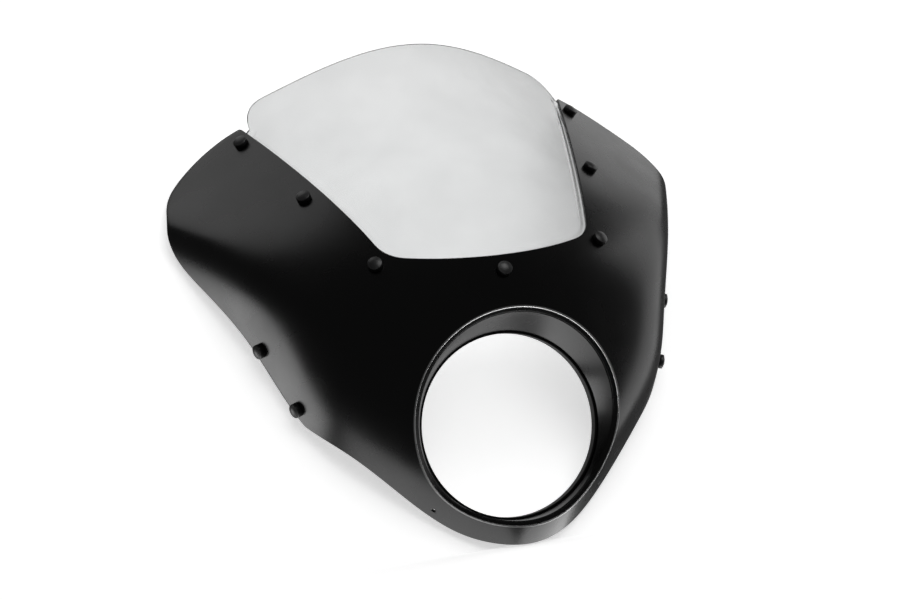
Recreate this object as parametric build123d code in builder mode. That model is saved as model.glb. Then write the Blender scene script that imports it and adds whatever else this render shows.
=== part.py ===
from build123d import *
import os
from math import atan, cos, degrees, exp, hypot, log, radians, sin, sqrt

os.makedirs("parts", exist_ok=True)

# Frame: millimetres, +Z up, the front faces -Y, the headlight axis is the Y axis
# The origin is the centre of the headlight opening's rear edge

# Sheets and fits
wall = 3.0
screen_wall = 3.0
sheet_gap = 0.1
touch_gap = 0.05
hollow_gap = 0.2

# Outer surface of the cowl: nose, brow and lean
nose_y = -58.0
brow_z = 141.0
brow_blend = 26.0
lean = 0.92
lean_angle = degrees(atan(lean))

# Outer surface: roundness of the front and straightening of the wings
front_radius = 240.0
wing_reach = 180.0
wrap_z = 150.0
wrap_blend = 30.0
wrap_rate = 0.0000155

# Outer surface: side skirts, belly under the headlight and turned chin rim
skirt_x = 169.0
skirt_z = 50.0
skirt_flare = 0.0035
flare_blend = 12.0
skirt_fall = 2.8
skirt_blend = 10.0
chin_round = 45.0
belly_drop = 81.0
belly_fall = 0.26
belly_blend = 14.0
rim_drop = 124.0
rim_fall = 1.4
rim_blend = 9.0

# Extent of the untrimmed surface and how finely it is laid out
skin_half_width = 256.0
skin_low = -125.0
skin_high = 370.0
skin_columns = 33
skin_rows = 35

# Headlight tunnel: lip, shoulder, groove, tapered wall and rear land
opening_r = 80.0
trim_wall = 2.0
trim_grip = 9.0
land_r = opening_r + trim_wall + touch_gap
land_end = -trim_wall - touch_gap
land_start = -10.0
tunnel_flare = 13.5
lip_r = opening_r + tunnel_flare
lip_z = 7.5
lip_step = 2.0
lip_round = 1.6
shoulder_width = 3.2
shoulder_depth = 1.6
groove = 0.8
root_reach = 3.5
root_lap = 0.5
tunnel_steps = 15
tunnel_overrun = 15.0

# Rear edge of the cowl, seen from the side as (y, z): rounded wing, skirt corner and chin
wing_top = (174.0, 302.0)
wing_round = [(185.0, 293.0), (191.0, 278.0), (189.5, 261.0), (183.0, 246.0), (167.0, 228.0)]
wing_edge = [(151.0, 210.0), (142.5, 182.0), (122.5, 151.5), (90.5, 107.0), (70.5, 64.5)]
skirt_corner = (50.5, 20.5)
rear_corner_round = 8.0
chin_edge = [(23.0, -7.5), (12.0, -37.5), (5.5, -67.5), (-5.5, -92.0), (-19.5, -104.0), (-48.0, -124.0)]
trim_clear = 60.0

# Screen cut-out and screen outline, laid out in the leaning screen plane
cut_low_z = 148.0
cut_half_width = 94.5
cut_rise = 25.8
cut_side_slope = 0.275
cut_length = 330.0
cut_corner = 40.0
cut_reach = 150.0
step_gap = 1.2
step_lap = 3.0
screen_flange = 25.0
flange_end_y = 171.0
screen_top_width = 152.5
screen_top = 275.0
screen_top_lift = 9.0
screen_corner = 18.0

# Fasteners: size M5 screws under domed caps
shank_r = 2.45
shank_hole_r = 3.0
head_r = 4.75
head_height = 2.6
screen_screw_length = 14.0
side_screw_length = 18.0
relief_depth = 0.4
relief_width = 1.0
cap_r = 6.5
cap_height = 5.8
cap_crown = 1.6
dome_r = (cap_r**2 + cap_crown**2) / (2 * cap_crown)
cap_edge = 0.8
bush_r = 6.0
bush_flange = 1.5
bush_spigot_r = 3.5
bush_spigot = 2.4
screen_hole_r = bush_spigot_r + 0.25
nut_flats = 8.0
nut_height = 4.7
thread_fit = 0.1
washer_r = 6.0
washer_height = 1.5

# Screen screws: distance along the leaning plane and margin outside the cut-out's edge
centre_margin = 14.3
low_margin = 9.3
low_along = 20.0
mid_margin = 14.9
mid_along = 125.0
top_margin = 10.4
top_along = 236.0

# Side screws and lower holes on the right half, seen from the front as (x, z)
side_screw_places = [(192.3, 91.2), (171.7, 36.5)]
low_hole_place = (76.7, -63.8)
low_hole_r = 2.0


# The outer surface as a formula
def soft(reach, blend):
    """A ramp of slope one that starts at zero, its start rounded over the blend length."""
    return blend * log(1 + exp(reach / blend))


def skin_y(x, z):
    """Depth of the cowl's outer surface behind the front, at a place seen from the front."""
    centre = nose_y + lean * soft(z - brow_z, brow_blend)
    bend = 1 / (2 * front_radius) + wrap_rate * soft(z - wrap_z, wrap_blend)
    sweep_back = 2 * bend * wing_reach**2 * (sqrt(1 + (x / wing_reach) ** 2) - 1)
    crease_x = skirt_x + skirt_flare * soft(z - skirt_z, flare_blend) ** 2
    skirt = skirt_fall * soft(sqrt(x**2 + 1) - crease_x, skirt_blend)
    slant = sqrt(x**2 + chin_round**2) - z
    belly = belly_fall * soft((slant - belly_drop) / sqrt(2), belly_blend)
    rim = rim_fall * soft((slant - rim_drop) / sqrt(2), rim_blend)
    return centre + sweep_back + skirt + belly + rim


def skin_plane(x, z):
    """Plane that touches the outer surface at a place, its normal pointing outward."""
    reach = 0.5
    slope_x = (skin_y(x + reach, z) - skin_y(x - reach, z)) / (2 * reach)
    slope_z = (skin_y(x, z + reach) - skin_y(x, z - reach)) / (2 * reach)
    return Plane(origin=(x, skin_y(x, z), z), x_dir=(1, slope_x, 0), z_dir=(slope_x, -1, slope_z))


def both_sides(places):
    """The places on the right half and their mirror images on the left."""
    return [(side * x, z) for x, z in places for side in (1, -1)]


columns = [skin_half_width * (2 * i / (skin_columns - 1) - 1) for i in range(skin_columns)]
rows = [skin_low + (skin_high - skin_low) * j / (skin_rows - 1) for j in range(skin_rows)]
skin = Face.make_surface_from_array_of_points([[(x, skin_y(x, z), z) for x in columns] for z in rows])

# The leaning plane of the screen, its origin at the middle of the cut-out's lower edge
screen_plane = Plane(
    origin=(0, skin_y(0, cut_low_z), cut_low_z),
    x_dir=(1, 0, 0),
    z_dir=(0, -cos(radians(lean_angle)), sin(radians(lean_angle))),
)


def cut_side_x(along):
    """Half width of the cut-out at a distance along the leaning plane."""
    return cut_half_width + cut_side_slope * (along - cut_rise)


def behind_plane(x, along):
    """Place on the outer surface, as (x, z), straight behind a place in the leaning plane."""
    near, far = -250.0, 150.0
    for _ in range(40):
        depth = (near + far) / 2
        point = screen_plane.from_local_coords(Vector(x, along, depth))
        if point.Y > skin_y(x, point.Z):
            near = depth
        else:
            far = depth
    return (x, point.Z)


screen_spots = [
    (cut_half_width + low_margin, low_along),
    (cut_side_x(mid_along) + mid_margin, mid_along),
    (cut_side_x(top_along) + top_margin, top_along),
]
screen_places = both_sides([behind_plane(x, s) for x, s in screen_spots])
screen_places.append(behind_plane(0, -centre_margin))
side_places = both_sides(side_screw_places)

# Cut-out outline: a curved lower edge, two straight sides that widen upward
cut_top_width = cut_side_x(cut_length)
with BuildSketch() as cut_out:
    with BuildLine():
        ThreePointArc((-cut_half_width, cut_rise), (0, 0), (cut_half_width, cut_rise))
        Line((cut_half_width, cut_rise), (cut_top_width, cut_length))
        Line((cut_top_width, cut_length), (-cut_top_width, cut_length))
        Line((-cut_top_width, cut_length), (-cut_half_width, cut_rise))
    make_face()
    fillet(cut_out.vertices().sort_by(Axis.Y)[0:2], cut_corner)

# Rear edge outline seen from the side: round the wing, in along the skirt, then the chin
front_y = nose_y - trim_clear
top_z = skin_high + trim_clear
wing_top_y, wing_top_z = wing_top
chin_y, chin_z = chin_edge[-1]
with BuildSketch(Plane.YZ) as side_view:
    with BuildLine():
        Polyline((chin_y, chin_z), (front_y, chin_z), (front_y, top_z), (wing_top_y, top_z), wing_top)
        Spline(wing_top, *wing_round, *wing_edge, skirt_corner)
        Spline(skirt_corner, *chin_edge)
    make_face()
    fillet(side_view.vertices().sort_by_distance(skirt_corner)[0], rear_corner_round)


# Headlight tunnel: sections in planes through the headlight axis, lofted round one half and mirrored
def lip_reach(turn):
    """Distance from the headlight axis to the lip's circle, in the direction of a turn angle."""
    return lip_z * sin(turn) + sqrt(lip_r**2 - (lip_z * cos(turn)) ** 2)


def tunnel_section(turn):
    """Corners of the tunnel wall as (distance from the axis, y), from the lip to the rear land."""
    reach = lip_reach(turn)
    root = reach + root_reach
    lip_y = skin_y(reach * cos(turn), reach * sin(turn))
    root_y = skin_y(root * cos(turn), root * sin(turn))
    shoulder = reach - shoulder_width
    shoulder_y = lip_y + lip_step + shoulder_depth
    return [
        (root, root_y + lip_step),
        (reach, lip_y + lip_step),
        (shoulder, shoulder_y),
        (shoulder, shoulder_y + groove),
        (shoulder - groove, shoulder_y + groove),
        (land_r, land_start),
        (land_r, land_end),
        (land_r + wall, land_end),
        (land_r + wall, land_start),
        (reach, lip_y + lip_step + 2 * wall),
        (root, root_y + wall - root_lap),
    ]


def on_lip(edge):
    """True for the edges where the outer surface meets the lip's circle."""
    middle = edge @ 0.5
    on_circle = abs(hypot(middle.X, middle.Z - lip_z) - lip_r) < touch_gap
    return on_circle and abs(middle.Y - skin_y(middle.X, middle.Z)) < touch_gap


def turn_plane(turn):
    """Plane through the headlight axis, its x direction pointing at the turn angle and y along the axis."""
    return Plane(origin=(0, 0, 0), x_dir=(cos(turn), 0, sin(turn)), z_dir=(-sin(turn), 0, cos(turn)))


half_turn = 90 + tunnel_overrun
turns = [radians(half_turn * (2 * i / (tunnel_steps - 1) - 1)) for i in range(tunnel_steps)]
with BuildPart() as tunnel:
    for turn in turns:
        with BuildSketch(turn_plane(turn)):
            with BuildLine():
                Polyline(*tunnel_section(turn), close=True)
            make_face()
    loft()
    split(bisect_by=Plane.YZ, keep=Keep.TOP)
    mirror(about=Plane.YZ)

# Cowl shell: one formed sheet with the tunnel
with BuildPart() as cowl_shell:
    thicken(skin, amount=wall)
    extrude(side_view.sketch, amount=skin_half_width + trim_clear, both=True, mode=Mode.INTERSECT)
    with BuildSketch(screen_plane):
        add(cut_out.sketch)
    extrude(amount=cut_reach, both=True, mode=Mode.SUBTRACT)
    with BuildSketch(Plane.XZ):
        with Locations((0, lip_z)):
            Circle(lip_r)
    extrude(amount=cut_reach, mode=Mode.SUBTRACT)
    fillet(cowl_shell.edges().filter_by(on_lip), lip_round)
    add(tunnel.part)
    with Locations(*[skin_plane(x, z).location for x, z in screen_places + side_places]):
        Cylinder(shank_hole_r, 4 * wall, mode=Mode.SUBTRACT)
    with Locations(*[skin_plane(x, z).location for x, z in both_sides([low_hole_place])]):
        Cylinder(low_hole_r, 4 * wall, mode=Mode.SUBTRACT)

# Edge trim: a U-shaped rubber ring pushed on the tunnel's rear land
with BuildPart() as headlight_trim:
    with BuildSketch(Plane.XY):
        with Locations((opening_r, 0)):
            Rectangle(2 * trim_wall + 2 * touch_gap + wall, trim_grip, align=(Align.MIN, Align.MAX))
        with Locations((land_r - touch_gap, -trim_wall)):
            Rectangle(wall + 2 * touch_gap, trim_grip, align=(Align.MIN, Align.MAX), mode=Mode.SUBTRACT)
    revolve(axis=Axis.Y)
    fillet(headlight_trim.edges().group_by(Axis.Y)[-1].sort_by(SortBy.LENGTH)[-1], trim_wall / 2)

# Where the screen's step and flange run, in the leaning plane
with BuildSketch() as panel_outline:
    add(cut_out.sketch)
    offset(amount=-step_gap, mode=Mode.REPLACE)
    with BuildSketch(mode=Mode.INTERSECT) as top_outline:
        with BuildLine():
            corner_rise = screen_top + screen_top_lift
            ThreePointArc((-screen_top_width, corner_rise), (0, screen_top), (screen_top_width, corner_rise))
            Line((screen_top_width, corner_rise), (screen_top_width, -10))
            Line((screen_top_width, -10), (-screen_top_width, -10))
            Line((-screen_top_width, -10), (-screen_top_width, corner_rise))
        make_face()
        fillet(top_outline.vertices().sort_by(Axis.Y)[-2:], screen_corner)
with BuildSketch() as flange_outline:
    add(cut_out.sketch)
    offset(amount=screen_flange, kind=Kind.ARC, mode=Mode.REPLACE)
with BuildSketch() as inner_outline:
    add(cut_out.sketch)
    offset(amount=-step_gap - step_lap, mode=Mode.REPLACE)

# Windscreen: a flange under the cowl and a raised panel that fills the cut-out
with BuildPart() as screen_seat:
    thicken(skin, amount=wall + sheet_gap)
seat = screen_seat.faces().sort_by(SortBy.AREA)[-2:].sort_by(Axis.Y)[-1]
with BuildPart() as screen_panel:
    thicken(skin, amount=wall + 4 * sheet_gap)
    with BuildSketch(screen_plane):
        add(panel_outline.sketch)
    extrude(amount=cut_reach, both=True, mode=Mode.INTERSECT)
with BuildPart() as windscreen:
    thicken(seat, amount=screen_wall)
    with BuildSketch(screen_plane):
        add(flange_outline.sketch)
        add(inner_outline.sketch, mode=Mode.SUBTRACT)
    extrude(amount=cut_reach, both=True, mode=Mode.INTERSECT)
    split(bisect_by=Plane.XZ.offset(-flange_end_y), keep=Keep.TOP)
    with Locations(*[skin_plane(x, z).location for x, z in screen_places]):
        Cylinder(screen_hole_r, 8 * wall, mode=Mode.SUBTRACT)
    add(screen_panel.part)


# Screw with a domed head, its seat at the origin and its shank pointing down
def screw(length):
    """A screw of one shank length under the head."""
    with BuildPart() as made:
        Cylinder(head_r, head_height, align=(Align.CENTER, Align.CENTER, Align.MIN))
        fillet(made.edges().group_by(Axis.Z)[-1], head_height / 2)
        Cylinder(shank_r, length, align=(Align.CENTER, Align.CENTER, Align.MAX))
        chamfer(made.edges().group_by(Axis.Z)[0], shank_r / 4)
    return made


screen_screw = screw(screen_screw_length)

# Side screw: the same with a relief behind the washer, where its free end begins
washer_back = wall + 2 * hollow_gap + washer_height
with BuildPart() as side_screw:
    add(screw(side_screw_length).part)
    with Locations((0, 0, -washer_back)):
        Cylinder(shank_r, relief_width, align=(Align.CENTER, Align.CENTER, Align.MAX), mode=Mode.SUBTRACT)
        Cylinder(shank_r - relief_depth, relief_width, align=(Align.CENTER, Align.CENTER, Align.MAX))

# Domed cap that covers a screw head
with BuildPart() as cap:
    Cylinder(cap_r, cap_height, align=(Align.CENTER, Align.CENTER, Align.MIN))
    with Locations((0, 0, cap_height - dome_r)):
        Sphere(dome_r, mode=Mode.INTERSECT)
    fillet(cap.edges().filter_by(lambda edge: edge.is_closed).sort_by(Axis.Z)[-1], cap_edge)
    Cylinder(head_r + thread_fit, 2 * (head_height + thread_fit), mode=Mode.SUBTRACT)

# Flanged bush that lines a screen hole, and the nut behind it
with BuildPart() as bush:
    Cylinder(bush_r, bush_flange, align=(Align.CENTER, Align.CENTER, Align.MAX))
    fillet(bush.edges().group_by(Axis.Z)[0], bush_flange / 4)
    Cylinder(bush_spigot_r, bush_spigot, align=(Align.CENTER, Align.CENTER, Align.MIN))
    Hole(shank_r + 2 * thread_fit)
with BuildPart() as nut:
    with BuildSketch():
        RegularPolygon(nut_flats / 2, 6, major_radius=False)
    extrude(amount=-nut_height * 0.75)
    Cylinder(nut_flats * 0.45, nut_height, align=(Align.CENTER, Align.CENTER, Align.MAX))
    Hole(shank_r + thread_fit)
with BuildPart() as washer:
    Cylinder(washer_r, washer_height, align=(Align.CENTER, Align.CENTER, Align.MAX))
    fillet(washer.edges().group_by(Axis.Z)[0], washer_height / 4)
    Hole(shank_r + touch_gap)


# Fastener groups: each piece stands at its own height on the surface's normal
def fitted(master, places, height):
    """Copies of one fastener, one per place, raised along the outer surface's normal."""
    with BuildPart() as group:
        with Locations(*[skin_plane(x, z).offset(height).location for x, z in places]):
            add(master.part)
    return group


bush_height = -wall - sheet_gap - screen_wall - hollow_gap
nut_level = bush_height - bush_flange - touch_gap
screen_caps = fitted(cap, screen_places, 2 * touch_gap)
screen_screws = fitted(screen_screw, screen_places, touch_gap)
screen_bushes = fitted(bush, screen_places, bush_height)
screen_nuts = fitted(nut, screen_places, nut_level)
side_caps = fitted(cap, side_places, 2 * touch_gap)
side_screws = fitted(side_screw, side_places, touch_gap)
side_washers = fitted(washer, side_places, -wall - hollow_gap)

# Hand over each piece under its own name
pieces = {
    "cowl_shell": cowl_shell,
    "windscreen": windscreen,
    "headlight_trim": headlight_trim,
    "screen_caps": screen_caps,
    "screen_screws": screen_screws,
    "screen_bushes": screen_bushes,
    "screen_nuts": screen_nuts,
    "side_caps": side_caps,
    "side_screws": side_screws,
    "side_washers": side_washers,
}
for name, piece in pieces.items():
    piece.part.label = name
    export_step(piece.part, f"parts/{name}.step")
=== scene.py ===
import bmesh
import bpy
import numpy as np
from mathutils import Matrix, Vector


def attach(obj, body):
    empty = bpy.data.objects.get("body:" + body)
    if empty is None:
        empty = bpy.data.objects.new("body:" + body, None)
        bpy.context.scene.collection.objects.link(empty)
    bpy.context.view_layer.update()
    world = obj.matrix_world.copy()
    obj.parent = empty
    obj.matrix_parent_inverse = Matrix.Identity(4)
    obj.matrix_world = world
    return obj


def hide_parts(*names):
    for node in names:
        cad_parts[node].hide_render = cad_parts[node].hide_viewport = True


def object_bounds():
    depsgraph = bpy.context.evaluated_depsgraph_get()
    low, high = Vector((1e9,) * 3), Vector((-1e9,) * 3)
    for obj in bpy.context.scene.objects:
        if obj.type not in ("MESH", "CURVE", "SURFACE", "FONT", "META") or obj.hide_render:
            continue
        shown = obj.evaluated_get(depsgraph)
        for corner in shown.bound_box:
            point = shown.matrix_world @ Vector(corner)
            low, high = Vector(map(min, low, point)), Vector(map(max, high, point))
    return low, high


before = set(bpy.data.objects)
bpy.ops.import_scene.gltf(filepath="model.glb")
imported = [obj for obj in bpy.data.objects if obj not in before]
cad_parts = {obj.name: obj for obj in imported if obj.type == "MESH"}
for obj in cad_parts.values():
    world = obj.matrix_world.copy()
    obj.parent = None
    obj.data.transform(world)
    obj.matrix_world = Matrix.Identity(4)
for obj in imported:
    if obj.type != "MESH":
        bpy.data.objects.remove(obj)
cad_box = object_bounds()

MM = 0.001
ROOT = "root"

# Outer surface of the cowl, in millimetres: nose, brow and lean
NOSE_Y, BROW_Z, BROW_BLEND, LEAN = -58.0, 141.0, 26.0, 0.92
FRONT_RADIUS, WING_REACH = 240.0, 180.0
WRAP_Z, WRAP_BLEND, WRAP_RATE = 150.0, 30.0, 0.0000155

# Outer surface: side skirts, belly under the headlight and turned chin rim
SKIRT_X, SKIRT_Z, SKIRT_FLARE, FLARE_BLEND = 169.0, 50.0, 0.0035, 12.0
SKIRT_FALL, SKIRT_BLEND = 2.8, 10.0
CHIN_ROUND = 45.0
BELLY_DROP, BELLY_FALL, BELLY_BLEND = 81.0, 0.26, 14.0
RIM_DROP, RIM_FALL, RIM_BLEND = 124.0, 1.4, 9.0

# Sheets, headlight tunnel and edge trim
WALL = 3.0
EDGE_ROUND = 0.9
LIP_R, LIP_Z, LIP_STEP, LIP_ROUND = 93.5, 7.5, 2.0, 1.9
SHOULDER_WIDTH, SHOULDER_DEPTH, GROOVE = 3.2, 1.6, 0.8
ROOT_REACH = 3.5
LAND_R, LAND_START, LAND_END = 82.05, -10.0, -2.05
TRIM_IN, TRIM_OUT, TRIM_GRIP, TRIM_WALL = 80.0, 87.1, 9.0, 2.0
TRIM_ROUNDS = [0, 0.7, 0.9, 0.9, 0.7, 0.5, 0.3, 0.3, 0.5, 0]

# Roundings of the tunnel's section, from its root behind the lip round the rear land to the lip, and
# how strongly each row of the last one, the lip's own, is painted as a highlight line
TUNNEL_ROUNDS = [0, 1.5, 1.5, 0.4, 0.4, 3.0, 0.3, 0.3, 0.35, 0.3, 1.6, 0]
LIP_PAINTED_HIGHLIGHT = (0.5, 1.0, 1.0, 1.0, 0.5)

# Directions on the lip, in degrees, that these places of the cowl's edge are joined to: the cut-out's
# middle and corner, the wing's top and tip, the skirt's corner and the chin
LIP_TURNS = [90, 50, 33, 22, -4, -90]
TURN_PASSES = 40

# Rear edge of the cowl seen from the side, as (y, z): round the wing, along the skirt, then the chin
WING_TOP, SKIRT_CORNER = (174.0, 302.0), (50.5, 20.5)
WING_EDGE = [
    WING_TOP, (185.0, 293.0), (191.0, 278.0), (189.5, 261.0), (183.0, 246.0), (167.0, 228.0),
    (151.0, 210.0), (142.5, 182.0), (122.5, 151.5), (90.5, 107.0), (70.5, 64.5), SKIRT_CORNER,
]
CHIN_EDGE = [
    SKIRT_CORNER, (23.0, -7.5), (12.0, -37.5), (5.5, -67.5), (-5.5, -92.0), (-19.5, -104.0),
    (-48.0, -124.0),
]
CORNER_EASE, TOP_EASE = 2.2, 2.0
WIDEST_X, LOWEST_Z, HIGHEST_Z = 300.0, -150.0, 480.0

# Screen cut-out and screen outline in the leaning screen plane, as (x, along)
CUT_LOW_Z, CUT_HALF_WIDTH, CUT_RISE, CUT_SIDE_SLOPE = 148.0, 94.5, 25.8, 0.275
CUT_EASE, CUT_LENGTH = 16.2, 330.0
SCREEN_TOP_WIDTH, SCREEN_TOP, SCREEN_TOP_LIFT, SCREEN_TOP_EASE = 152.5, 275.0, 9.0, 20.0
TOP_OVERRUN = 8.0
SCREEN_WALL, STEP_GAP, STEP_DEPTH, STEP_RAMP = 3.0, 1.2, 3.15, 6.5
FLANGE, FLANGE_END_Y = 25.0, 171.0
SPINE = (40.0, 235.0)

# Screen's step, measured outwards from the raised panel's edge: where the panel ends before the ramp,
# where the ramp's rows start and end, where it is full depth, and where the flange's rows start
PANEL_GAP, RAMP_LEAD, RAMP_TAIL, RAMP_OVERRUN, FLANGE_START = 1.5, 1.0, 1.5, 1.0, 3.0
NO_FLANGE, STEP_FADE, SCREEN_EDGE_BULGE = 0.01, 0.4, 0.35

# Caps: one low at the middle of the screen, three up each side, two on each skirt
CAP_R, CAP_HEIGHT, CAP_CROWN, CAP_EDGE, CAP_LIFT = 6.5, 5.8, 1.6, 0.9, 0.1
CAP_EDGE_EASE, CAP_SHOULDER_RISE = 0.8 * CAP_EDGE, 0.25
FOOT_INSET, FOOT_DROP, CAP_HOLLOW_R = 0.3, 0.1, 4.9
SCREEN_CAP_SPOTS = [(0.0, -14.3), (103.8, 20.0), (136.68, 125.0), (162.705, 236.0)]
SIDE_CAP_SPOTS = [(192.3, 91.2), (171.7, 36.5)]
LOW_HOLE_SPOT, LOW_HOLE_R, DRILL_REACH = (76.7, -63.8), 2.0, 9.0

# How finely the surfaces are laid out
ROUND_STEPS = 240
SKIN_ROWS, BACK_ROWS, EDGE_ROWS = 84, 30, 5
PANEL_ROWS, RAMP_ROWS, FLANGE_ROWS = 26, 22, 8
CAP_ROWS, CAP_SIDES, DRILL_SIDES = 10, 56, 40
ARC_POINTS, SIDE_POINTS, WING_POINTS, CHIN_POINTS, TOP_POINTS = 600, 1500, 2400, 1800, 900
HALVINGS = 46

# Camera: place in metres, image axes and lens
CAMERA_PLACE = (-0.70427, -1.97539, 0.09251)
IMAGE_RIGHT = (0.94036, -0.31635, -0.12505)
IMAGE_DOWN = (-0.11513, 0.04995, -0.99209)
LOOK_DIRECTION = (0.32009, 0.94733, 0.01055)
LENS_MM, SENSOR_MM = 96.0, 36.0

# Stage and light, in metres; glows are multiples of white
FLOOR_GAP, FLOOR_HALF = 0.0005, 3.0
BACK_SLOPE, BACK_Y, BACK_TOP, BACK_HALF = 0.55, 0.056, 0.9, 1.6
PAPER_GLOW, WORLD_FILL, WORLD_WHITE = 0.58, 0.07, 1.0
LAMP_TARGET = (0.0, 0.03, 0.1)


# Outer surface

def soft(reach, blend):
    """Ramp of slope one from zero, its start rounded: blend * log(1 + e^(reach / blend))."""
    return blend * np.logaddexp(0.0, reach / blend)


def skin_y(x, z):
    """Depth of the outer surface at (x, z): a centre line that leans back above the brow, plus a
    sweep to the sides that straightens with distance, plus soft ramps for skirt, belly and rim."""
    centre = NOSE_Y + LEAN * soft(z - BROW_Z, BROW_BLEND)
    bend = 1 / (2 * FRONT_RADIUS) + WRAP_RATE * soft(z - WRAP_Z, WRAP_BLEND)
    sweep_back = 2 * bend * WING_REACH**2 * (np.sqrt(1 + (x / WING_REACH) ** 2) - 1)
    crease_x = SKIRT_X + SKIRT_FLARE * soft(z - SKIRT_Z, FLARE_BLEND) ** 2
    skirt = SKIRT_FALL * soft(np.sqrt(x**2 + 1) - crease_x, SKIRT_BLEND)
    slant = np.sqrt(x**2 + CHIN_ROUND**2) - z
    belly = BELLY_FALL * soft((slant - BELLY_DROP) / np.sqrt(2), BELLY_BLEND)
    rim = RIM_FALL * soft((slant - RIM_DROP) / np.sqrt(2), RIM_BLEND)
    return centre + sweep_back + skirt + belly + rim


def skin_point(x, z):
    """Point (x, skin_y(x, z), z) of the outer surface, for whole arrays."""
    return np.stack([x, skin_y(x, z), z], axis=-1)


def unit(v):
    """Vectors of length one in the same directions."""
    return v / np.linalg.norm(v, axis=-1, keepdims=True)


def skin_normal(x, z, reach=0.25):
    """Outward normal of the outer surface: (dy/dx, -1, dy/dz) made one long, by central differences."""
    slope_x = (skin_y(x + reach, z) - skin_y(x - reach, z)) / (2 * reach)
    slope_z = (skin_y(x, z + reach) - skin_y(x, z - reach)) / (2 * reach)
    return unit(np.stack([slope_x, -np.ones_like(slope_x), slope_z], axis=-1))


def halve(low, high, rising):
    """Arrays of values between low and high at which a rising function passes zero, by halving."""
    for _ in range(HALVINGS):
        middle = (low + high) / 2
        above = rising(middle) > 0
        low, high = np.where(above, low, middle), np.where(above, middle, high)
    return (low + high) / 2


LEAN_COS, LEAN_SIN = np.cos(np.arctan(LEAN)), np.sin(np.arctan(LEAN))
PLANE_Y = skin_y(0.0, CUT_LOW_Z)


def under_screen_plane(x, along):
    """Height z on the outer surface straight behind a place (x, along) of the leaning plane: the z at
    which the surface point's own distance along the plane equals the one asked for."""
    def past(z):
        return LEAN_SIN * (skin_y(x, z) - PLANE_Y) + LEAN_COS * (z - CUT_LOW_Z) - along
    return halve(np.full_like(x, LOWEST_Z), np.full_like(x, HIGHEST_Z), past)


# Outlines

def spline(points, count):
    """Natural cubic curve through points, its parameter the distance from point to point."""
    p = np.array(points)
    h = np.linalg.norm(np.diff(p, axis=0), axis=1)
    t = np.concatenate([[0.0], np.cumsum(h)])
    n = len(p)
    system = np.eye(n)
    right = np.zeros((n, 2))
    i = np.arange(1, n - 1)
    system[i, i - 1], system[i, i], system[i, i + 1] = h[:-1], 2 * (h[:-1] + h[1:]), h[1:]
    right[1:-1] = 6 * np.diff(np.diff(p, axis=0) / h[:, None], axis=0)
    curve = np.linalg.solve(system, right)
    u = np.linspace(0, t[-1], count)
    k = np.clip(np.searchsorted(t, u) - 1, 0, n - 2)
    a, b, w = (t[k + 1] - u)[:, None], (u - t[k])[:, None], h[k][:, None]
    bent = (curve[k] * a**3 + curve[k + 1] * b**3) / (6 * w)
    return bent + (p[k] / w - curve[k] * w / 6) * a + (p[k + 1] / w - curve[k + 1] * w / 6) * b


def eased(first, second, reach, count=24):
    """Two runs that meet at a corner, joined by a parabola that leaves each one `reach` before it."""
    corner = second[0]
    first = first[np.linalg.norm(first - corner, axis=1) > reach]
    second = second[np.linalg.norm(second - corner, axis=1) > reach]
    u = np.linspace(0, 1, count)[1:-1, None]
    bend = (1 - u) ** 2 * first[-1] + 2 * u * (1 - u) * corner + u**2 * second[0]
    return np.concatenate([first, bend, second])


def respaced(points, count, bend_weight=14.0):
    """The same curve with a new number of points, spaced by length plus a weight times the turn."""
    step = np.diff(points, axis=0)
    length = np.linalg.norm(step, axis=1)
    heading = step / np.maximum(length, 1e-9)[:, None]
    turn = np.linalg.norm(np.diff(heading, axis=0, prepend=heading[:1]), axis=1)
    measure = np.concatenate([[0.0], np.cumsum(length + bend_weight * turn)])
    target = np.linspace(0, measure[-1], count)
    return np.stack([np.interp(target, measure, c) for c in points.T], axis=1)


def closed(half):
    """Right half of an outline, top centre to bottom centre, closed by its mirror image."""
    left = half[-2:0:-1].copy()
    left[:, 0] *= -1
    return np.concatenate([half, left])


def cut_outline():
    """Right half of the cut-out in the screen plane: an arc through the origin, then a straight side."""
    radius = (CUT_HALF_WIDTH**2 + CUT_RISE**2) / (2 * CUT_RISE)
    x = np.linspace(0, CUT_HALF_WIDTH, ARC_POINTS)
    arc = np.stack([x, radius - np.sqrt(radius**2 - x**2)], axis=1)
    end = CUT_HALF_WIDTH + CUT_SIDE_SLOPE * (CUT_LENGTH - CUT_RISE)
    side = np.linspace((CUT_HALF_WIDTH, CUT_RISE), (end, CUT_LENGTH), SIDE_POINTS)
    return eased(arc, side, CUT_EASE)


def cowl_outline():
    """Right half of the cowl's edge as (x, z): round the cut-out, along the top, down the rear edge to
    the chin. The rear edge is where the outer surface is as deep as the side view's line."""
    cut = cut_outline()
    cut = np.stack([cut[:, 0], under_screen_plane(cut[:, 0], cut[:, 1])], axis=1)
    wing = spline(WING_EDGE, WING_POINTS)
    depth = np.interp(cut[:, 1], wing[::-1, 1], wing[::-1, 0])
    cut = cut[skin_y(cut[:, 0], cut[:, 1]) < depth]
    rear = eased(wing, spline(CHIN_EDGE, CHIN_POINTS), CORNER_EASE)
    rear = rear[(skin_y(np.zeros(len(rear)), rear[:, 1]) < rear[:, 0]) & (rear[:, 1] < cut[-1, 1])]

    def past_line(x):
        return skin_y(x, rear[:, 1]) - rear[:, 0]
    x = halve(np.zeros(len(rear)), np.full(len(rear), WIDEST_X), past_line)
    edge = np.stack([x, rear[:, 1]], axis=1)
    edge = edge[(edge[:, 1] < WING_EDGE[3][1]) | (edge[:, 0] > cut[-1, 0])]
    edge = np.concatenate([edge, [[0.0, edge[-1, 1]]]])
    return eased(np.concatenate([cut, edge[:1]]), edge, TOP_EASE)


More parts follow.
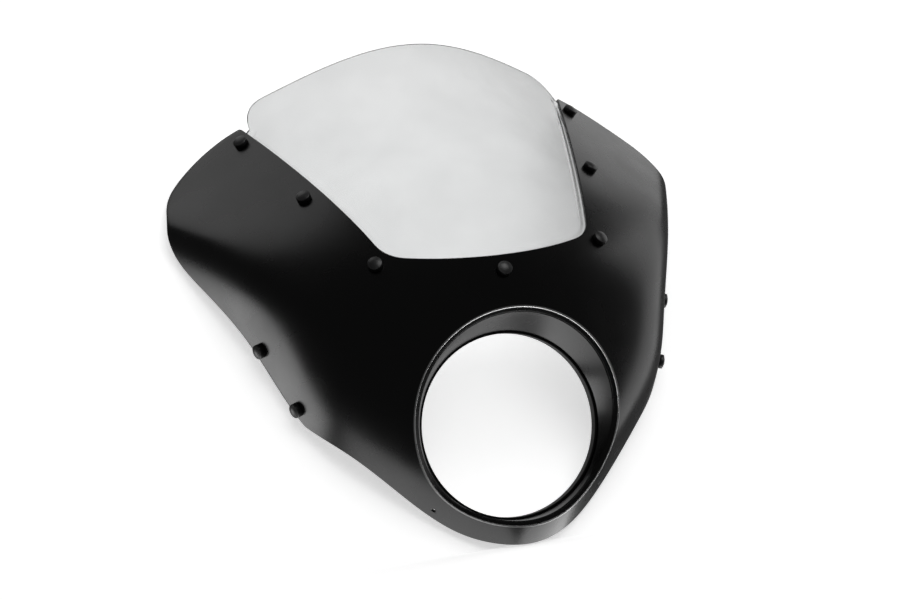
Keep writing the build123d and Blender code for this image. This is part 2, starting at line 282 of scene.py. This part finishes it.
def screen_outline():
    """Right half of the raised panel's edge in the screen plane: the cut-out's line a little further in,
    then the free top edge, an arc that rises to its corners."""
    cut = cut_outline()
    heading = unit(np.gradient(cut, axis=0))
    inner = cut + STEP_GAP * np.stack([-heading[:, 1], heading[:, 0]], axis=1)
    inner[0] = (0.0, STEP_GAP)
    rise = (SCREEN_TOP_WIDTH**2 + SCREEN_TOP_LIFT**2) / (2 * SCREEN_TOP_LIFT)
    x = np.linspace(SCREEN_TOP_WIDTH + TOP_OVERRUN, 0, TOP_POINTS)
    top = np.stack([x, SCREEN_TOP + rise - np.sqrt(rise**2 - x**2)], axis=1)
    corner_along = np.interp(SCREEN_TOP_WIDTH, inner[:, 0], inner[:, 1])
    inner = inner[inner[:, 1] < min(corner_along, SCREEN_TOP + SCREEN_TOP_LIFT)]
    top = top[top[:, 0] < inner[-1, 0]]
    return eased(np.concatenate([inner, top[:1]]), top, SCREEN_TOP_EASE)


# Meshes

def grid_faces(index, turned):
    """Four-sided faces between the neighbours in a grid of point numbers, turned over if asked."""
    corners = [index[:-1, :-1], index[1:, :-1], index[1:, 1:], index[:-1, 1:]]
    return np.stack(corners[::-1] if turned else corners, axis=-1).reshape(-1, 4)


def add_piece(name, points, material, node=None, wrap=(True, True), turned=False):
    """A grid of points (u, v, 3) in millimetres as a smooth mesh of four-sided faces that rides on the
    part. The grid closes on itself in the directions that wrap names."""
    u, v = points.shape[:2]
    index = np.arange(u * v).reshape(u, v)
    if wrap[0]:
        index = np.concatenate([index, index[:1]], axis=0)
    if wrap[1]:
        index = np.concatenate([index, index[:, :1]], axis=1)
    return add_faces(name, points.reshape(-1, 3), grid_faces(index, turned), material, node)


def add_faces(name, vertices, faces, material, node=None):
    """Vertices in millimetres and four-sided faces as a smooth mesh that rides on the part."""
    mesh = bpy.data.meshes.new(name)
    mesh.from_pydata(np.ascontiguousarray(vertices * MM), [], np.ascontiguousarray(faces))
    mesh.polygons.foreach_set("use_smooth", np.ones(len(mesh.polygons), dtype=bool))
    mesh.materials.append(material)
    mesh.update()
    piece = bpy.data.objects.new(name, mesh)
    bpy.context.scene.collection.objects.link(piece)
    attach(piece, ROOT)
    if node:
        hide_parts(node)
    return piece


def rounded_path(corners, rounds, steps=5):
    """Profiles through corners (..., corner, 2), each inner corner replaced by a parabola that starts
    its own round before the corner and ends as far after it."""
    rows = [corners[..., 0, :]]
    u = np.linspace(0, 1, steps)
    for k in range(1, corners.shape[-2] - 1):
        before = corners[..., k, :] + rounds[k] * unit(corners[..., k - 1, :] - corners[..., k, :])
        after = corners[..., k, :] + rounds[k] * unit(corners[..., k + 1, :] - corners[..., k, :])
        rows += [(1 - w) ** 2 * before + 2 * w * (1 - w) * corners[..., k, :] + w**2 * after for w in u]
    rows.append(corners[..., -1, :])
    return np.stack(rows, axis=-2)


def revolved(profile, steps):
    """Points of a profile (radius, height) turned round the third axis."""
    angle = np.linspace(0, 2 * np.pi, steps, endpoint=False)[:, None]
    r, h = profile[None, :, 0], profile[None, :, 1]
    h = np.broadcast_to(h, (steps, h.shape[1]))
    return np.stack([r * np.cos(angle), r * np.sin(angle), h], axis=-1)


# Cowl

def lip_reach(turn):
    """Distance from the headlight axis to the lip's circle, whose centre is a little above the axis."""
    return LIP_Z * np.sin(turn) + np.sqrt(LIP_R**2 - (LIP_Z * np.cos(turn)) ** 2)


def lip_turns(edge):
    """Turn angle on the lip that each point of the right half's edge is joined to: from straight up at
    the cut-out to straight down at the chin, by the share of the edge's length."""
    length = np.concatenate([[0.0], np.cumsum(np.linalg.norm(np.diff(edge, axis=0), axis=1))])
    corner_z = under_screen_plane(np.array([CUT_HALF_WIDTH]), np.array([CUT_RISE]))[0]
    corner = np.argmax(edge[:, 1] > corner_z)
    top = np.argmax(edge[:, 1])
    tip = np.argmax(edge[:, 0])
    low = tip + np.argmax(edge[tip:, 1] < SKIRT_CORNER[1])
    marks = [0, corner, top, tip, low, len(edge) - 1]
    return np.interp(length, length[marks], np.radians(LIP_TURNS))


def even_out(values, passes):
    """Values smoothed along the half outline by averaging neighbours, the two ends kept."""
    for _ in range(passes):
        between = (values[:-2] + 2 * values[1:-1] + values[2:]) / 4
        values = np.concatenate([values[:1], between, values[-1:]])
    return values


def turned_points(radius, y, turn):
    """Points at a distance from the headlight axis and a depth, in the directions of the turn angles."""
    return np.stack([radius * np.cos(turn)[:, None], y, radius * np.sin(turn)[:, None]], axis=-1)


def cowl_grid():
    """The whole cowl as one closed sheet: rows run from the lip over the outer surface, round the cut
    edge, back over the inner surface, behind the tunnel and up its wall to the lip again."""
    half = respaced(cowl_outline(), ROUND_STEPS + 1)
    half_turn = even_out(lip_turns(half), TURN_PASSES)
    edge = closed(half)
    turn = np.concatenate([half_turn, np.pi - half_turn[-2:0:-1]])

    border = skin_point(edge[:, 0], edge[:, 1])
    normal = skin_normal(edge[:, 0], edge[:, 1])
    along = unit(np.roll(border, -1, axis=0) - np.roll(border, 1, axis=0))
    outward = np.cross(normal, along)
    inset = border - EDGE_ROUND * outward

    reach = lip_reach(turn)
    lip_start = reach + LIP_ROUND
    start = np.stack([lip_start * np.cos(turn), lip_start * np.sin(turn)], axis=1)
    share = np.linspace(0, 1, SKIN_ROWS)
    flat = start[:, None] + share[None, :, None] * (inset[:, None, [0, 2]] - start[:, None])
    outer = skin_point(flat[..., 0], flat[..., 1])

    a = np.linspace(0, np.pi / 2, EDGE_ROWS)[None, :, None]
    n, o = normal[:, None], outward[:, None]
    low_centre = inset[:, None] - EDGE_ROUND * n
    deep_centre = inset[:, None] - (WALL - EDGE_ROUND) * n
    outer_round = low_centre + EDGE_ROUND * (o * np.sin(a) + n * np.cos(a))
    inner_round = deep_centre + EDGE_ROUND * (o * np.cos(a) - n * np.sin(a))

    root = reach + ROOT_REACH
    root_start = np.stack([root * np.cos(turn), root * np.sin(turn)], axis=1)
    share = np.linspace(1, 0, BACK_ROWS)[1:]
    flat = root_start[:, None] + share[None, :, None] * (inset[:, None, [0, 2]] - root_start[:, None])
    inner = skin_point(flat[..., 0], flat[..., 1]) - WALL * skin_normal(flat[..., 0], flat[..., 1])

    lip_y = skin_y(reach * np.cos(turn), reach * np.sin(turn))
    lip_out_y = skin_y(lip_start * np.cos(turn), lip_start * np.sin(turn))
    shoulder = reach - SHOULDER_WIDTH
    shoulder_y = lip_y + LIP_STEP + SHOULDER_DEPTH
    same = np.ones_like(reach)
    root_deep = inner[:, -1]
    corners = [
        (np.hypot(root_deep[:, 0], root_deep[:, 2]), root_deep[:, 1]),
        (reach, lip_y + LIP_STEP + 2 * WALL),
        ((LAND_R + WALL) * same, LAND_START * same),
        ((LAND_R + WALL) * same, LAND_END * same),
        (LAND_R * same, LAND_END * same),
        (LAND_R * same, LAND_START * same),
        (shoulder - GROOVE, shoulder_y + GROOVE),
        (shoulder, shoulder_y + GROOVE),
        (shoulder, shoulder_y),
        (reach, lip_y + LIP_STEP),
        (reach, lip_y),
        (lip_start, lip_out_y),
    ]
    corners = np.stack([np.stack(c, axis=-1) for c in corners], axis=1)
    profile = rounded_path(corners, TUNNEL_ROUNDS)
    tunnel = turned_points(profile[..., 0], profile[..., 1], turn)[:, 1:-1]
    return np.concatenate([outer, outer_round[:, 1:], inner_round, inner, tunnel], axis=1)


def make_cowl(material):
    """The cowl's sheet, its lip's rows marked in an attribute that paints a highlight line on them, with
    the two small round holes drilled square to its surface near the chin."""
    points = cowl_grid()
    cowl = add_piece("cowl_sheet", points, material, "cowl_shell")
    # The lip's last rows are marked for the painted highlight line.
    shine = np.zeros(points.shape[:2])
    shine[:, -len(LIP_PAINTED_HIGHLIGHT):] = LIP_PAINTED_HIGHLIGHT
    marks = cowl.data.attributes.new("lip_painted_highlight", "FLOAT", "POINT")
    marks.data.foreach_set("value", shine.ravel())
    low, high = -DRILL_REACH, DRILL_REACH
    drill = revolved(np.array([(0, low), (LOW_HOLE_R, low), (LOW_HOLE_R, high), (0, high)]), DRILL_SIDES)
    for side in (1, -1):
        x, z = np.array([side * LOW_HOLE_SPOT[0]]), np.array([LOW_HOLE_SPOT[1]])
        drill_mesh(cowl, place_square(drill, x, z, 0.0)[0])
    return cowl


def drill_mesh(piece, points):
    """Takes the drill's volume out of a piece and removes the drill."""
    drill = add_piece("drill", points, piece.data.materials[0], wrap=(True, False))
    drill.data.validate()
    cut = piece.modifiers.new("hole", "BOOLEAN")
    cut.object, cut.operation, cut.solver = drill, "DIFFERENCE", "EXACT"
    bpy.context.view_layer.objects.active = piece
    bpy.ops.object.modifier_apply(modifier=cut.name)
    bpy.data.objects.remove(drill)


# Edge trim and caps

def trim_grid():
    """Rubber edge trim: a U-shaped profile with rounded corners turned round the headlight axis."""
    inner, outer, back, front, lip = TRIM_IN, TRIM_OUT, 0.0, -TRIM_GRIP, TRIM_WALL
    corners = np.array([
        (inner + lip / 2, front), (inner, front), (inner, back), (outer, back), (outer, front),
        (outer - lip, front), (outer - lip, back - lip), (inner + lip, back - lip), (inner + lip, front),
        (inner + lip / 2, front),
    ])
    profile = rounded_path(corners, TRIM_ROUNDS)[:-1]
    points = revolved(profile, ROUND_STEPS)
    return points[..., [0, 2, 1]]


def place_square(points, x, z, lift):
    """Copies of points, one per place on the outer surface, their third axis along its normal."""
    n = skin_normal(x, z)
    side = unit(np.stack([-n[:, 1], n[:, 0], np.zeros(len(x))], axis=-1))
    up = np.cross(n, side)
    axes = np.stack([side, up, n], axis=1)
    origin = skin_point(x, z) + lift * n
    return np.einsum("uvk,pkc->puvc", points, axes) + origin[:, None, None]


def cap_grid():
    """One cap: a low dome, a rounded shoulder and a straight side, turned round its axis."""
    dome = (CAP_R**2 + CAP_CROWN**2) / (2 * CAP_CROWN)
    r = np.linspace(0, CAP_R - CAP_EDGE, CAP_ROWS)
    top = np.stack([r, CAP_HEIGHT - dome + np.sqrt(dome**2 - r**2)], axis=1)
    low = CAP_HEIGHT - CAP_CROWN
    corners = np.array([top[-1], (CAP_R, low + CAP_SHOULDER_RISE), (CAP_R, 0.0)])
    side = rounded_path(corners, [0, CAP_EDGE_EASE, 0], 7)
    foot = np.array([(CAP_R - FOOT_INSET, -FOOT_DROP), (CAP_HOLLOW_R, -FOOT_DROP)])
    return revolved(np.concatenate([top[:-1], side, foot]), CAP_SIDES)


def make_caps(name, node, x, z, material):
    """All caps of one group as one piece: the same grid at every place."""
    copies = place_square(cap_grid(), x, z, CAP_LIFT)
    count, u, v = copies.shape[:3]
    index = np.arange(u * v).reshape(u, v)
    index = np.concatenate([index, index[:1]], axis=0)
    faces = grid_faces(index, turned=True)
    faces = (faces[None] + (u * v * np.arange(count))[:, None, None]).reshape(-1, 4)
    caps = add_faces(name, copies.reshape(-1, 3), faces, material, node)
    merge_poles(caps)
    return caps


def merge_poles(piece):
    """Points that share one place become one point."""
    work = bmesh.new()
    work.from_mesh(piece.data)
    bmesh.ops.remove_doubles(work, verts=work.verts, dist=1e-6)
    work.to_mesh(piece.data)
    work.free()


# Windscreen

def smooth_step(u):
    """Zero below 0, one above 1, 3u^2 - 2u^3 between."""
    u = np.clip(u, 0, 1)
    return u * u * (3 - 2 * u)


def screen_grid():
    """The clear sheet: rows run from the middle line over the raised panel, down a soft step and out
    over the flange that lies behind the cowl, round the edge and back on the inner face. The flange
    stops short of the cowl's rear edge, and fades to nothing where the panel stands free."""
    half = respaced(screen_outline(), ROUND_STEPS + 1)
    edge = closed(half)
    heading = unit(np.roll(edge, -1, axis=0) - np.roll(edge, 1, axis=0))
    outward = np.stack([heading[:, 1], -heading[:, 0]], axis=1)

    def past_rear(width):
        x, s = (edge + width[:, None] * outward).T
        return skin_y(x, under_screen_plane(x, s)) - FLANGE_END_Y
    flange = halve(np.zeros(len(edge)), np.full(len(edge), FLANGE), past_rear)
    free = np.maximum.accumulate(flange[:ROUND_STEPS + 1] < NO_FLANGE)
    flange[np.concatenate([free, free[-2:0:-1]])] = 0.0
    step = STEP_DEPTH * smooth_step(flange / (STEP_FADE * FLANGE))

    low, high = SPINE
    rise = np.minimum(edge[:, 1], SCREEN_TOP) / SCREEN_TOP
    middle = np.stack([0 * edge[:, 0], low + (high - low) * rise], axis=1)
    fold = edge - (STEP_RAMP + PANEL_GAP) * outward
    share = np.linspace(0, 1, PANEL_ROWS)
    panel = middle[:, None] + share[None, :, None] * (fold[:, None] - middle[:, None])
    ramp = np.linspace(-STEP_RAMP - RAMP_LEAD, RAMP_TAIL, RAMP_ROWS)
    off = np.concatenate([ramp, np.linspace(FLANGE_START, FLANGE, FLANGE_ROWS)])
    reach = np.where(off[None] > 0, off[None] * flange[:, None] / FLANGE, off[None])
    rim = edge[:, None] + reach[..., None] * outward[:, None]
    depth = step[:, None] * smooth_step((off[None] + STEP_RAMP) / (STEP_RAMP + RAMP_OVERRUN))
    flat = np.concatenate([panel, rim], axis=1)
    depth = np.concatenate([np.zeros(panel.shape[:2]), depth], axis=1)
    z = under_screen_plane(flat[..., 0], flat[..., 1])
    normal = skin_normal(flat[..., 0], z)
    front = skin_point(flat[..., 0], z) - depth[..., None] * normal
    back = front - SCREEN_WALL * normal
    ahead = edge + outward
    ahead = skin_point(ahead[:, 0], under_screen_plane(*ahead.T))
    bulge = unit(ahead - skin_point(edge[:, 0], under_screen_plane(*edge.T)))
    middle_edge = (front[:, -1] + back[:, -1]) / 2 + SCREEN_EDGE_BULGE * bulge
    return np.concatenate([front, middle_edge[:, None], back[:, ::-1]], axis=1)


def make_screen(material):
    """The clear sheet, closed along its middle line, where the rows of both halves meet."""
    screen = add_piece("clear_screen", screen_grid(), material, "windscreen", (True, False), turned=True)
    merge_poles(screen)
    return screen


# Finishes

def finish_nodes(name):
    """A new material, its node tree, its shader and a noise source on the piece's own coordinates."""
    material = bpy.data.materials.new(name)
    material.use_nodes = True
    tree = material.node_tree
    return material, tree, tree.nodes["Principled BSDF"], tree.nodes.new("ShaderNodeTexCoord")


def noise(tree, place, scale, detail=3.0):
    """Noise at a number of waves a metre."""
    node = tree.nodes.new("ShaderNodeTexNoise")
    node.inputs["Scale"].default_value = scale
    node.inputs["Detail"].default_value = detail
    tree.links.new(place.outputs["Object"], node.inputs["Vector"])
    return node.outputs["Fac"]


def spread(tree, source, low, high, socket):
    """A socket that runs from low to high as the source goes from 0.3 to 0.7."""
    node = tree.nodes.new("ShaderNodeMapRange")
    node.inputs["From Min"].default_value = 0.3
    node.inputs["From Max"].default_value = 0.7
    node.inputs["To Min"].default_value = low
    node.inputs["To Max"].default_value = high
    tree.links.new(source, node.inputs["Value"])
    tree.links.new(node.outputs["Result"], socket)


def tint(tree, source, dark, light, socket):
    """A colour socket that runs between two colours with the source."""
    node = tree.nodes.new("ShaderNodeValToRGB")
    node.color_ramp.elements[0].position, node.color_ramp.elements[1].position = 0.35, 0.65
    node.color_ramp.elements[0].color = (*dark, 1)
    node.color_ramp.elements[1].color = (*light, 1)
    tree.links.new(source, node.inputs["Fac"])
    tree.links.new(node.outputs["Color"], socket)


def grain(tree, source, height, strength, shader):
    """Fine relief on a shader's normal."""
    node = tree.nodes.new("ShaderNodeBump")
    node.inputs["Strength"].default_value = strength
    node.inputs["Distance"].default_value = height
    tree.links.new(source, node.inputs["Height"])
    tree.links.new(node.outputs["Normal"], shader.inputs["Normal"])


def mottled(name, dark, light, rough, scale, relief=0.0, metal=0.0):
    """A finish whose colour and gloss vary a little over the piece, with an optional fine relief."""
    material, tree, shader, place = finish_nodes(name)
    shader.inputs["Metallic"].default_value = metal
    source = noise(tree, place, scale)
    tint(tree, source, dark, light, shader.inputs["Base Color"])
    spread(tree, source, rough[0], rough[1], shader.inputs["Roughness"])
    if relief:
        grain(tree, noise(tree, place, scale * 9, 2.0), relief, 0.25, shader)
    return material


def with_painted_lip_highlight(material, colour):
    """The same finish with a painted highlight line, pale and metallic, on the lip's marked rows."""
    tree = material.node_tree
    shader = tree.nodes["Principled BSDF"]
    base = shader.inputs["Base Color"].links[0].from_socket
    # A colour mix has its factor at input 0, its two colours at 6 and 7 and its result at output 2.
    # The lip's marked rows turn pale and metallic: a painted highlight line.
    line = tree.nodes.new("ShaderNodeAttribute")
    line.attribute_name = "lip_painted_highlight"
    both = tree.nodes.new("ShaderNodeMix")
    both.data_type = "RGBA"
    both.inputs[7].default_value = (*colour, 1)
    tree.links.new(line.outputs["Fac"], both.inputs[0])
    tree.links.new(base, both.inputs[6])
    tree.links.new(both.outputs[2], shader.inputs["Base Color"])
    tree.links.new(line.outputs["Fac"], shader.inputs["Metallic"])
    return material


def clear_acrylic(name):
    """Clear sheet with a faint haze that varies over it. Lamps shine through it."""
    material, tree, shader, place = finish_nodes(name)
    shader.inputs["Transmission Weight"].default_value = 1.0
    shader.inputs["IOR"].default_value = 1.49
    source = noise(tree, place, 14.0)
    tint(tree, source, (0.63, 0.635, 0.635), (0.67, 0.675, 0.675), shader.inputs["Base Color"])
    spread(tree, source, 0.0, 0.015, shader.inputs["Roughness"])
    passing = tree.nodes.new("ShaderNodeBsdfTransparent")
    passing.inputs["Color"].default_value = (0.93, 0.935, 0.935, 1)
    path = tree.nodes.new("ShaderNodeLightPath")
    both = tree.nodes.new("ShaderNodeMixShader")
    tree.links.new(path.outputs["Is Shadow Ray"], both.inputs["Fac"])
    tree.links.new(shader.outputs["BSDF"], both.inputs[1])
    tree.links.new(passing.outputs["BSDF"], both.inputs[2])
    tree.links.new(both.outputs["Shader"], tree.nodes["Material Output"].inputs["Surface"])
    return material


# Pale colour of the lip's painted highlight line.
LIP_HIGHLIGHT_PAINT = (0.85, 0.85, 0.85)
RUBBER_GRAIN, STEEL_GRAIN = 0.00005, 0.00002
cowl_black = mottled(
    "cowl_black_plastic", (0.0022, 0.0022, 0.0024), (0.0034, 0.0034, 0.0036), (0.24, 0.3), 22.0)
cap_black = mottled(
    "cap_black_plastic", (0.016, 0.016, 0.0165), (0.022, 0.022, 0.0225), (0.34, 0.4), 90.0)
trim_black = mottled(
    "trim_black_rubber", (0.004, 0.004, 0.0042), (0.007, 0.007, 0.0072), (0.5, 0.62), 120.0, RUBBER_GRAIN)
washer_black = mottled(
    "washer_rubber", (0.012, 0.012, 0.012), (0.02, 0.02, 0.02), (0.55, 0.7), 160.0, RUBBER_GRAIN)
bush_black = mottled(
    "bush_nylon", (0.02, 0.02, 0.021), (0.03, 0.03, 0.031), (0.42, 0.52), 140.0)
screw_steel = mottled(
    "bright_steel", (0.52, 0.53, 0.55), (0.66, 0.67, 0.69), (0.22, 0.36), 240.0, STEEL_GRAIN, 1.0)
acrylic = clear_acrylic("clear_acrylic")


# Pieces

def mirrored(spots):
    """Places on the right half and their mirror images, a middle one only once."""
    spots = np.array(spots)
    left = spots[spots[:, 0] > 0] * (-1, 1)
    return np.concatenate([spots, left]).T


make_cowl(with_painted_lip_highlight(cowl_black, LIP_HIGHLIGHT_PAINT))
screen = make_screen(acrylic)
add_piece("edge_trim", trim_grid(), trim_black, "headlight_trim")
x, along = mirrored(SCREEN_CAP_SPOTS)
screen_caps = make_caps("screen_cap_set", "screen_caps", x, under_screen_plane(x, along), cap_black)
side_caps = make_caps("side_cap_set", "side_caps", *mirrored(SIDE_CAP_SPOTS), cap_black)
for node, material in {
    "screen_screws": screw_steel,
    "side_screws": screw_steel,
    "screen_nuts": screw_steel,
    "screen_bushes": bush_black,
    "side_washers": washer_black,
}.items():
    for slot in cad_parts[node].material_slots:
        slot.material = material


# Stage

def sheet_stage(name, corners):
    """A flat four-sided stage sheet in metres. It takes shadows but casts and mirrors nothing."""
    mesh = bpy.data.meshes.new(name)
    mesh.from_pydata(corners, [], [(0, 1, 2, 3)])
    sheet = bpy.data.objects.new(name, mesh)
    bpy.context.scene.collection.objects.link(sheet)
    mesh.materials.append(stage_white)
    sheet.visible_glossy = False
    sheet.visible_diffuse = False
    sheet.visible_shadow = False
    return sheet


def stage_finish():
    """Pale matt paper that shows from its front only, with a faint tooth."""
    material, tree, shader, place = finish_nodes("stage_paper")
    source = noise(tree, place, 60.0)
    tint(tree, source, (0.93, 0.93, 0.93), (0.95, 0.95, 0.95), shader.inputs["Base Color"])
    spread(tree, source, 0.85, 0.95, shader.inputs["Roughness"])
    shader.inputs["Specular IOR Level"].default_value = 0.0
    shader.inputs["Emission Color"].default_value = (1, 1, 1, 1)
    shader.inputs["Emission Strength"].default_value = PAPER_GLOW
    side = tree.nodes.new("ShaderNodeNewGeometry")
    passing = tree.nodes.new("ShaderNodeBsdfTransparent")
    both = tree.nodes.new("ShaderNodeMixShader")
    tree.links.new(side.outputs["Backfacing"], both.inputs["Fac"])
    tree.links.new(shader.outputs["BSDF"], both.inputs[1])
    tree.links.new(passing.outputs["BSDF"], both.inputs[2])
    tree.links.new(both.outputs["Shader"], tree.nodes["Material Output"].inputs["Surface"])
    return material


stage_white = stage_finish()
floor_z = cad_box[0].z - FLOOR_GAP
floor = sheet_stage("floor", [
    (-FLOOR_HALF, -FLOOR_HALF, floor_z),
    (FLOOR_HALF, -FLOOR_HALF, floor_z),
    (FLOOR_HALF, FLOOR_HALF, floor_z),
    (-FLOOR_HALF, FLOOR_HALF, floor_z),
])
foot_y, top_y = BACK_Y + BACK_SLOPE * floor_z, BACK_Y + BACK_SLOPE * BACK_TOP
backdrop = sheet_stage("backdrop", [
    (-BACK_HALF, foot_y, floor_z),
    (BACK_HALF, foot_y, floor_z),
    (BACK_HALF, top_y, BACK_TOP),
    (-BACK_HALF, top_y, BACK_TOP),
])


# Light

def softbox(name, azimuth, elevation, distance, size, glow, receivers):
    """A soft lamp with four corners that looks at the object from a direction, as bright as glow times
    white, and lights only its receivers."""
    a, e = np.radians(azimuth), np.radians(elevation)
    direction = np.array([np.sin(a) * np.cos(e), -np.cos(a) * np.cos(e), np.sin(e)])
    lamp = bpy.data.lights.new(name, "AREA")
    lamp.shape, lamp.size, lamp.size_y = "RECTANGLE", size[0], size[1]
    lamp.energy = glow * np.pi * size[0] * size[1]
    box = bpy.data.objects.new(name, lamp)
    bpy.context.scene.collection.objects.link(box)
    side = unit(np.cross([0.0, 0.0, 1.0], direction))
    up = np.cross(direction, side)
    axes = np.stack([side, up, direction, LAMP_TARGET + distance * direction], axis=1)
    box.matrix_world = Matrix([*axes.tolist(), (0, 0, 0, 1)])
    box.visible_camera = False
    box.visible_transmission = False
    group = bpy.data.collections.new(name + "_receivers")
    for receiver in receivers:
        group.objects.link(receiver)
    box.light_linking.receiver_collection = group


# The clear sheet shows the paper behind it and mirrors no lamp.
lit = [piece for piece in bpy.data.objects if piece.type == "MESH" and piece != screen]
softbox("paper_light", 0, 40, 2.4, (2.2, 2.2), 2.2, [floor, backdrop])
softbox("left_low_box", -128, -20, 1.5, (0.62, 0.62), 2.9, lit)
softbox("below_box", -135, -66, 1.3, (1.16, 1.16), 1.75, lit)
softbox("below_right_box", 112, -60, 1.3, (0.9, 1.15), 2.8, lit)
softbox("top_back_box", -145, 62, 1.6, (1.0, 0.9), 0.85, lit)
softbox("right_box", 97, 4, 1.6, (0.95, 1.9), 1.1, lit)
softbox("right_back_box", 130, 30, 1.7, (0.7, 0.7), 0.75, lit)
softbox("back_card", 172, 0, 1.5, (1.6, 3.2), 0.45, lit)
softbox("cap_light", 20, 48, 1.5, (0.9, 0.9), 3.0, [screen_caps, side_caps])

# The surroundings are white where they are seen, also through the clear sheet, and dim elsewhere.
world = bpy.data.worlds.new("studio")
bpy.context.scene.world = world
world.use_nodes = True
tree = world.node_tree
shade = tree.nodes["Background"]
shade.inputs["Color"].default_value = (1, 1, 1, 1)
path = tree.nodes.new("ShaderNodeLightPath")
seen = tree.nodes.new("ShaderNodeMath")
seen.operation = "MAXIMUM"
level = tree.nodes.new("ShaderNodeMapRange")
level.inputs["To Min"].default_value = WORLD_FILL
level.inputs["To Max"].default_value = WORLD_WHITE
tree.links.new(path.outputs["Is Camera Ray"], seen.inputs[0])
tree.links.new(path.outputs["Is Transmission Ray"], seen.inputs[1])
tree.links.new(seen.outputs["Value"], level.inputs["Value"])
tree.links.new(level.outputs["Result"], shade.inputs["Strength"])


# Camera

camera = bpy.data.objects.new("camera", bpy.data.cameras.new("camera"))
bpy.context.scene.collection.objects.link(camera)
camera.data.lens, camera.data.sensor_width = LENS_MM, SENSOR_MM
columns = np.stack([IMAGE_RIGHT, -np.array(IMAGE_DOWN), -np.array(LOOK_DIRECTION), CAMERA_PLACE], axis=1)
camera.matrix_world = Matrix([*columns.tolist(), (0, 0, 0, 1)])
bpy.context.scene.camera = camera
bpy.context.scene.view_settings.view_transform = "Standard"
